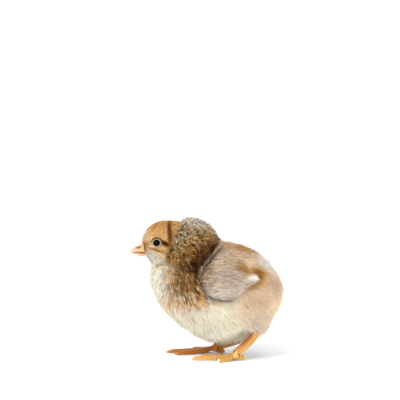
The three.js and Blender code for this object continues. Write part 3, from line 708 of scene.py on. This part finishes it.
def wing_coat(places):
    """Flat silky down that all runs to the wing's tip."""
    flow = unit(WING_TIP - places * np.array([1, 0, 1])) + np.array([0.25, 0, 0.0])
    places = seen(places)
    x, z = places[:, 0], places[:, 2]
    front = spot(places, 0.5, 43, 4, 11, -18)
    return {
        "density": even(places, 1.0),
        "paint": (WING_GROUND, WING_MARKS),
        "root": 0.78 - 0.15 * front,
        "ruffle": even(places, 0.28),
        "speckle": 0.11 + 0.16 * front,
        "frost": 0.22 * front + 0.06,
        "flow": flow,
        "stray": 0.13,
        "curl": 0.05,
        "length": 4.2 + 0.6 * between(x, 8, 18),
        "lift": even(places, 17.0),
        "lift_spread": 7.0,
        "droop": 1.4 * (1 - between(z, 29, 35)),
        "clump": even(places, 0.35),
        "width": even(places, 0.19),
    }


UNDERDOWN_DEPTH = 0.88      # of a skin's colour against the down over it
UNDERDOWN_GRAIN = 900.0     # to the metre


def dye(skin, ground, marks, name):
    """Colours a skin like the down over it, a little deeper, and gives it a fine grain."""
    mesh = skin.data
    add_colour_layer(mesh, "coat", paint(vertex_places(mesh), ground, marks) * UNDERDOWN_DEPTH)
    material = shaded(name, (0.5, 0.4, 0.3), 0.9, specular=0.1)
    tree = material.node_tree
    dyed = add_node(material, "ShaderNodeAttribute", attribute_name="coat")
    texture = object_noise(material, UNDERDOWN_GRAIN)
    grain = ramp_between(material, texture.outputs["Fac"], (0.8, 0.8, 0.8), (1.0, 1.0, 1.0))
    mix = add_node(material, "ShaderNodeMix", data_type="RGBA", blend_type="MULTIPLY")
    mix.inputs[0].default_value = 1.0
    tree.links.new(dyed.outputs["Color"], mix.inputs[6])
    tree.links.new(grain, mix.inputs[7])
    tree.links.new(mix.outputs[2], tree.nodes["Principled BSDF"].inputs["Base Color"])
    wear(mesh, material)


# ---------------------------------------------------------------- the chick's coat

def settle(piece, body=BODY, nodes=()):
    """Says which body a piece rides on, and which CAD nodes it stands for."""
    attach(piece, body)
    if nodes:
        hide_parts(*nodes)


# The room over each leg, in millimetres: half its length and width, its height, and what it fades over
ROOM_LENGTH = 11
ROOM_WIDTH = 6
ROOM_RISE = 5.5
ROOM_FADE = 6
ROOM_REACH = 1.3            # in half lengths from the hub, where the rise has ended


def lift_leg_rooms(skin):
    """Presses the underside of the skin up round each leg, so that the leg comes out of loose down."""
    points = vertex_values(skin.data, "co")
    axle_low, axle_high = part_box("leg_axle")
    hub_x = (axle_low.x + axle_high.x) / 2
    for leg in ("leg_left", "leg_right"):
        low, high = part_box(leg)
        hub_y = (low.y + high.y) / 2
        along = (points[:, 0] - hub_x) / (ROOM_LENGTH * MM)
        across = (points[:, 1] - hub_y) / (ROOM_WIDTH * MM)
        near = np.hypot(along, across)
        below = np.clip((axle_low.z - points[:, 2]) / (ROOM_FADE * MM), 0, 1)
        points[:, 2] += ROOM_RISE * MM * np.clip(ROOM_REACH - near, 0, 1) * below
    move_vertices(skin.data, points)


# For each coat: the strands in one mesh of down, and the tufts that all the strands gather into
BODY_FILL = (38000, 9000)
RUFF_FILL = (36000, 5600)
FACE_FILL = (40000, 4500)
WING_FILL = (26000, 3400)


def cover(skin, names, fill, seeds, coat, hidden_by):
    """Grows the down over a skin, one mesh for each name; `seeds` are the tufts' and the first mesh's."""
    strands, tufts = fill
    shared = make_tufts(skin, tufts, seeds[0])
    for order, name in enumerate(names):
        down = grow(name, skin, strands, seeds[1] + order, coat, shared, hidden_by)
        settle(down)


def make_coat():
    body = skin_over("body_skin", ("body_down_left", "body_down_right"), 2.3)
    ruff = skin_over("ruff_skin", ("neck_ruff",), 4.2)
    face = skin_over("face_skin", ("face_down",), 0.5, voxel=0.6, smoothing=8)
    wings = {
        side: skin_over(f"wing_skin_{side}", (f"wing_{side}",), 1.7, voxel=0.6, smoothing=6)
        for side in ("left", "right")
    }
    lift_leg_rooms(body)
    body_tree, ruff_tree, face_tree = bvh(body), bvh(ruff), bvh(face)

    dye(body, BODY_GROUND, BODY_MARKS, "body_underdown")
    dye(ruff, RUFF_GROUND, RUFF_MARKS, "ruff_underdown")
    dye(face, FACE_GROUND, FACE_MARKS, "face_underdown")
    settle(body, nodes=("body_down_left", "body_down_right"))
    settle(ruff, nodes=("neck_ruff",))
    settle(face, nodes=("face_down",))
    body_names = [f"body_down_{part}" for part in (1, 2, 3, 4)]
    ruff_names = [f"ruff_down_{part}" for part in (1, 2)]
    cover(body, body_names, BODY_FILL, (10, 11), body_coat, [ruff_tree, face_tree])
    cover(ruff, ruff_names, RUFF_FILL, (20, 21), ruff_coat, [body_tree, face_tree])
    cover(face, ["face_pile"], FACE_FILL, (30, 31), face_coat, [ruff_tree, body_tree])
    for order, (side, skin) in enumerate(wings.items()):
        dye(skin, WING_GROUND, WING_MARKS, f"wing_underdown_{side}")
        settle(skin, nodes=(f"wing_{side}",))
        seeds = (50 + order, 41 + order)
        names = [f"wing_down_{side}"]
        cover(skin, names, WING_FILL, seeds, wing_coat, [body_tree, ruff_tree])


# ---------------------------------------------------------------- horn, eyes, legs and metal

COPY_SOFTENING = 0.5         # share of the way that a smoothing step moves a vertex of a copy


def smooth_copy(name, node, voxel, smoothing):
    """A finely meshed, smoothed copy of a CAD node."""
    piece = link(name, frame["nodes"][node].data.copy())
    piece.data.materials.clear()
    apply_modifier(piece, "REMESH", mode="VOXEL", voxel_size=voxel * MM)
    apply_modifier(piece, "SMOOTH", factor=COPY_SOFTENING, iterations=smoothing)
    smooth_faces(piece.data)
    return piece


def link_smooth(name, shape, material):
    """A smooth-shaded piece made of a finished bmesh."""
    mesh = bpy.data.meshes.new(name)
    shape.to_mesh(mesh)
    shape.free()
    smooth_faces(mesh)
    wear(mesh, material)
    return link(name, mesh)


def tint(piece, levels, name, roughness, bump_scale, bump, **rest):
    """Colours a piece by screen levels given for each vertex, with a fine bump."""
    add_colour_layer(piece.data, "tint", levels)
    material = shaded(name, (0.5, 0.4, 0.3), roughness, **rest)
    dyed = add_node(material, "ShaderNodeAttribute", attribute_name="tint")
    shader = material.node_tree.nodes["Principled BSDF"]
    material.node_tree.links.new(dyed.outputs["Color"], shader.inputs["Base Color"])
    add_bump(material, object_noise(material, bump_scale).outputs["Fac"], bump)
    wear(piece.data, material)


def blend_levels(low, high, share):
    """Screen levels between two colours, by a share given for each place."""
    return np.array(low) + (np.array(high) - np.array(low)) * np.asarray(share)[:, None]


def lay(levels, colour, strength):
    """Screen levels with another colour laid over them."""
    return levels + (np.array(colour) - levels) * np.clip(strength, 0, 1)[:, None]


GAPE = 0.5                  # between the halves of the beak, which the lower half's upper side closes
HORN_TIP = (230, 212, 172)
HORN_RIDGE = (150, 112, 74)
NOSTRIL = (84, 50, 18)
GAPE_LINE = (150, 90, 60)


def raise_top(piece, low, high):
    """Lifts the upper side of the lower half of the beak until it meets the upper half."""
    heights = vertex_places(piece.data)[:, 2]
    for vertex, share in zip(piece.data.vertices, between(heights, low, high)):
        vertex.co.z += GAPE * MM * share


def upper_beak_levels(places):
    x, z = places[:, 0], places[:, 2]
    levels = blend_levels((216, 170, 108), (228, 180, 152), between(-x, 31.5, 35))
    ridge = between(z, 55.0 + (x + 33.5) * 0.5, 56.2 + (x + 33.5) * 0.5)
    levels = lay(levels, HORN_RIDGE, 0.9 * ridge)
    return lay(levels, NOSTRIL, 1.8 * spot(places, -33.0, 55.4, 1.2, 0.36, 14))


def lower_beak_levels(places):
    x, z = places[:, 0], places[:, 2]
    levels = blend_levels((212, 148, 120), (228, 174, 150), between(-x, 30, 34))
    return lay(levels, GAPE_LINE, 0.55 * between(z, 51.6, 51.9) * between(x, -36, -33))


def make_beak():
    """Two horn mandibles, pink along the gape and pale yellow at the tip, with a nostril slit."""
    for which, colour in (("upper", upper_beak_levels), ("lower", lower_beak_levels)):
        piece = smooth_copy(f"beak_{which}_horn", f"beak_{which}", 0.14, 3)
        places = vertex_places(piece.data)
        levels = lay(colour(places), HORN_TIP, between(-places[:, 0], 36.4, 38.2))
        if which == "lower":
            raise_top(piece, 50.8, 51.9)
        tint(piece, levels, f"beak_{which}", 0.4, 600.0, 0.00006, coat=0.15)
        settle(piece, nodes=(f"beak_{which}",))


FOLD_RADIUS = 2.7           # of the arc that the dark fold over the eye follows
FOLD_HEIGHT = 0.92          # of the arc against its width
FOLD_ARC = (-12, 175)       # its first and last angle, in degrees
FOLD_BEADS = 17             # balls that it is run together from
FOLD_ENDS = 0.16            # their radius at the ends
FOLD_SWELL = 0.26           # and how much more it is in the middle
FOLD_OUT = 0.3              # how far the fold lies outside the middle of the lid


def make_fold(name, middle, rim_y, material):
    """The dark fold of skin over an eye, thickest in its middle."""
    fold = bmesh.new()
    for bead in range(FOLD_BEADS):
        share = bead / (FOLD_BEADS - 1)
        angle = math.radians(FOLD_ARC[0] + (FOLD_ARC[1] - FOLD_ARC[0]) * share)
        across = FOLD_RADIUS * MM * math.cos(angle)
        up = FOLD_RADIUS * MM * FOLD_HEIGHT * math.sin(angle)
        radius = (FOLD_ENDS + FOLD_SWELL * math.sin(math.pi * share)) * MM
        ball = bmesh.ops.create_icosphere(fold, subdivisions=2, radius=radius)
        at = Vector((middle.x + across, rim_y, middle.z + up))
        bmesh.ops.translate(fold, verts=ball["verts"], vec=at)
    piece = link_smooth(name, fold, material)
    apply_modifier(piece, "REMESH", mode="VOXEL", voxel_size=0.08 * MM)
    wear(piece.data, material)
    return piece


def make_eyes():
    glass = shaded("eye_glass", srgb(6, 4, 3), 0.12, specular=0.08)
    lid_skin = mottled("lid_skin", srgb(126, 112, 84), srgb(176, 162, 132), 0.5, 900.0, bump=0.00006)
    fold_skin = shaded("lid_fold", srgb(84, 46, 16), 0.7, specular=0.2)
    for side, away in (("left", -1), ("right", 1)):
        low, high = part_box(f"eye_{side}")
        middle = (low + high) / 2
        bead = bmesh.new()
        bmesh.ops.create_uvsphere(bead, u_segments=40, v_segments=24, radius=(high.x - low.x) / 2)
        bmesh.ops.translate(bead, verts=bead.verts, vec=middle)
        settle(link_smooth(f"eye_bead_{side}", bead, glass), nodes=(f"eye_{side}",))

        lid = smooth_copy(f"eyelid_rim_{side}", f"eyelid_{side}", 0.12, 3)
        wear(lid.data, lid_skin)
        settle(lid, nodes=(f"eyelid_{side}",))
        rim_low, rim_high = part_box(f"eyelid_{side}")
        rim_y = (rim_low.y + rim_high.y) / 2 + away * FOLD_OUT * MM
        settle(make_fold(f"lid_fold_{side}", middle, rim_y, fold_skin))


# Where the toes of each leg meet [X, Z], and the tips of its toes [X, splay away from the mid-plane]
TOE_ROOTS = {"left": (14.6, 3.4), "right": (4.6, 3.4)}
TOE_TIPS = {
    "left": ((-7.6, -0.5), (5.6, 6.2), (-3.4, -6.4), (20.4, -1.2)),
    "right": ((-20.2, -0.8), (-7.2, 6.2), (-15.6, -6.6), (9.8, -1.6)),
}
SHANK_DIRECTION = {"left": (0.62, 0.78), "right": (0.88, 0.47)}
SHANK_FROM = 10             # the height that only the shanks reach
RING_PITCH = 1.15
RING_DEPTH = 0.13
TOE_SKIN = (228, 180, 98)
SHANK_SKIN = (202, 122, 48)
SHANK_BACK = (208, 172, 92)
GROOVE = (142, 70, 18)
CLAW = (226, 208, 186)
LEG_PAINTED_SHADE = {"left": (1.0, 1.0, 1.0), "right": (0.82, 0.66, 0.34)}     # painted shade: the right leg is darkened to a deeper orange, as if it stood in shade


def leg_lines(side, places, leg_y):
    """For each place on a leg: how far it is along the toes, along the shank, and behind the shank."""
    root_x, root_z = TOE_ROOTS[side]
    dx, dz = SHANK_DIRECTION[side]
    x = places[:, 0] - root_x
    z = places[:, 2] - root_z
    return np.hypot(x, places[:, 1] - leg_y), x * dx + z * dz, x * dz - z * dx


def make_legs():
    """Scaly skin: rings round the toes, broad scutes down the front of the shank, horn claws."""
    for side, away in (("left", -1), ("right", 1)):
        piece = smooth_copy(f"leg_{side}_skin", f"leg_{side}", 0.24, 3)
        mesh = piece.data
        places = vertex_places(mesh)
        x, y, z = places.T
        leg_y = float(np.median(y[z > SHANK_FROM]))
        along_toe, along_shank, behind = leg_lines(side, places, leg_y)
        on_shank = between(along_shank, 1.0, 2.4)
        phase = np.where(on_shank > 0.5, along_shank, along_toe) / RING_PITCH
        shown = np.where(on_shank > 0.5, between(-behind, -2.2, 0.0), between(z, 0.4, 1.2))
        groove = (0.5 + 0.5 * np.cos(2 * math.pi * phase)) ** 2 * shown
        sink = (RING_DEPTH * groove)[:, None] * vertex_values(mesh, "normal")
        move_vertices(mesh, vertex_values(mesh, "co") - sink * MM)

        levels = blend_levels(TOE_SKIN, SHANK_SKIN, on_shank * between(z, 4, 10))
        levels = lay(levels, SHANK_BACK, 0.6 * between(behind, 0.4, 1.8) * on_shank)
        levels = lay(levels, GROOVE, 0.95 * groove)
        for tip_x, splay in TOE_TIPS[side]:
            from_tip = np.hypot(x - tip_x, y - (leg_y + away * splay))
            levels = lay(levels, CLAW, 1 - between(from_tip, 1.0, 1.8))
        # Painted shade: the right leg's colours are darkened to a deeper orange
        levels = levels * np.array(LEG_PAINTED_SHADE[side])
        tint(piece, levels, f"leg_{side}_scale", 0.42, 700.0, 0.00008, specular=0.4)
        settle(piece, LEGS, nodes=(f"leg_{side}",))


# For each slot: material name, its two shades, roughness, grain to the metre, bump in metres, metallic
FINISHES = {
    "shell_plastic": ("shell_plastic", srgb(222, 208, 178), srgb(236, 224, 198), 0.45, 120.0, 0.00005, 0.0),
    "steel": ("tinned_steel", (0.48, 0.49, 0.50), (0.62, 0.63, 0.64), 0.3, 700.0, 0.00002, 1.0),
    "brass": ("stamped_brass", (0.58, 0.42, 0.16), (0.74, 0.57, 0.26), 0.32, 600.0, 0.00002, 1.0),
    "spring_steel": ("blued_steel", (0.06, 0.08, 0.14), (0.14, 0.17, 0.25), 0.25, 500.0, 0.00001, 1.0),
    "key_metal": ("nickel", (0.36, 0.36, 0.35), (0.50, 0.50, 0.49), 0.22, 400.0, 0.00001, 1.0),
}


def dress_mechanism():
    """Gives the CAD nodes that stay their real finishes."""
    materials = {slot: mottled(*finish[:-1], metallic=finish[-1]) for slot, finish in FINISHES.items()}
    for part in frame["record"]["subparts"]:
        material = materials.get(part["material_slot"])
        if material:
            wear(frame["nodes"][part["node"]].data, material)


make_camera()
make_studio()
PALETTE, LEVELS = coat_palette()
make_coat()
make_beak()
make_eyes()
make_legs()
dress_mechanism()
